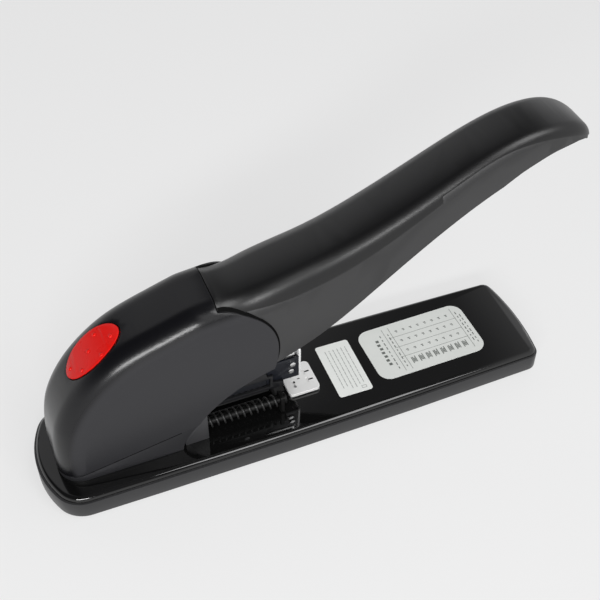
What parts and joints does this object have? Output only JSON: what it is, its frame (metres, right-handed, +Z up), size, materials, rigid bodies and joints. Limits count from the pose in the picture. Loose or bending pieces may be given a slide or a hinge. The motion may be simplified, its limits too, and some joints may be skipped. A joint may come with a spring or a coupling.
{
  "type": "long-lever stapler",
  "caption": "Heavy-duty long-lever desk stapler: black base with anvil and labels, pivoting curved handle, swinging magazine with staple drawer, paper stop and red release button.",
  "frame": {"origin": "on the supporting surface under the middle of the base, at the centre of the middle foot", "axes": "+X from the pivot housing along the base towards the paper side, +Y across the base, +Z up"},
  "size_m": [0.3023, 0.068, 0.161],
  "materials": {
    "tray": "fine matt moulding",
    "rubber": "matt",
    "steel": "plain rolled steel",
    "screw": "zinc plated",
    "deck": "mirror gloss black",
    "anvil": "bright satin",
    "label": "satin film",
    "cover": "satin moulding",
    "skirt": "satin moulding",
    "handle_cap": "satin moulding",
    "handle_panel": "matt moulding",
    "spring": "dark oiled wire",
    "frame": "satin",
    "carrier": "satin",
    "drawer": "satin blue-grey",
    "chrome": "polished",
    "rivet": "bright",
    "staples": "galvanised wire",
    "bracket": "satin",
    "stop": "satin black",
    "button": "gloss red"
  },
  "bodies": {
    "base": {"base_tray": "tray", "rubber_feet": "rubber", "base_chassis": "steel", "base_screws": "screw", "base_deck": "deck", "anvil_block": "steel", "anvil_plate": "anvil", "anvil_rivets": "screw", "small_label": "label", "table_label": "label", "rear_cover": "cover", "cover_skirt": "skirt", "cover_screws": "screw", "handle_pivot_pin": "steel", "pivot_bush": "steel", "pivot_washers": "steel", "handle_spring": "spring", "main_frame": "frame", "frame_screws": "screw", "magazine_pivot_pin": "steel", "magazine_spacers": "steel", "spring_crossbar": "steel", "magazine_spring": "spring", "stop_bracket": "bracket", "stop_rods": "steel", "stop_springs": "spring", "button_guide": "frame", "button_spring": "spring"},
    "handle": {"handle_cap": "handle_cap", "handle_shell": "handle_panel", "handle_lever": "steel", "handle_screws": "screw", "lever_pins": "steel", "drive_pin": "steel", "drive_rollers": "steel"},
    "magazine": {"magazine_channel": "steel", "magazine_carrier": "carrier", "magazine_rivets": "steel", "driver_guide": "chrome", "latch_pin": "steel"},
    "latch": {"latch_lever": "frame"},
    "drawer": {"drawer_block": "drawer", "drawer_rivets": "rivet", "front_plate": "chrome", "staple_rail": "steel", "pusher_rod": "steel", "staple_strip": "staples", "pusher_spring": "spring"},
    "pusher": {"staple_pusher": "frame"},
    "driver": {"driver_blade": "steel", "driver_holder": "frame", "driver_rivet": "steel"},
    "stop": {"paper_stop": "stop"},
    "button": {"release_button": "button"}
  },
  "joints": [
    {"name": "handle_press", "type": "hinge", "parent": "base", "child": "handle", "pos_m": [-0.047, 0, 0.0724], "axis": [0, -1, 0], "range_deg": [-30, 0], "stiffness_Nm_per_rad": 1.2, "springref_deg": 34.38, "deforming": ["handle_spring"]},
    {"name": "magazine_swing", "type": "hinge", "parent": "base", "child": "magazine", "pos_m": [-0.104, 0, 0.038], "axis": [0, -1, 0], "range_deg": [-6.36, 0], "stiffness_Nm_per_rad": 0.4, "springref_deg": 17.19, "deforming": ["magazine_spring"]},
    {"name": "driver_slide", "type": "slide", "parent": "magazine", "child": "driver", "axis": [0, 0, 1], "range_m": [-0.01345, 0]},
    {"name": "drawer_slide", "type": "slide", "parent": "magazine", "child": "drawer", "axis": [1, 0, 0], "range_m": [0, 0.08]},
    {"name": "pusher_feed", "type": "slide", "parent": "drawer", "child": "pusher", "axis": [1, 0, 0], "range_m": [-0.024, 0], "stiffness_N_per_m": 40, "springref_m": 0.03, "deforming": ["pusher_spring"]},
    {"name": "stop_slide", "type": "slide", "parent": "base", "child": "stop", "axis": [-1, 0, 0], "range_m": [0, 0.022], "stiffness_N_per_m": 150, "springref_m": -0.01, "deforming": ["stop_springs"]},
    {"name": "button_press", "type": "slide", "parent": "base", "child": "button", "axis": [0.6691, 0, -0.7431], "range_m": [0, 0.0025], "stiffness_N_per_m": 600, "springref_m": -0.002, "deforming": ["button_spring"]},
    {"name": "latch_swing", "type": "hinge", "parent": "magazine", "child": "latch", "pos_m": [-0.088, 0, 0.0515], "axis": [0, -1, 0], "range_deg": [-19, 0]}
  ],
  "couplings": [
    {"joint": "magazine_swing", "follows": "handle_press", "ratio": 0.21167},
    {"joint": "driver_slide", "follows": "handle_press", "m_per_rad": 0.02565},
    {"joint": "latch_swing", "follows": "button_press", "rad_per_m": -132}
  ]
}
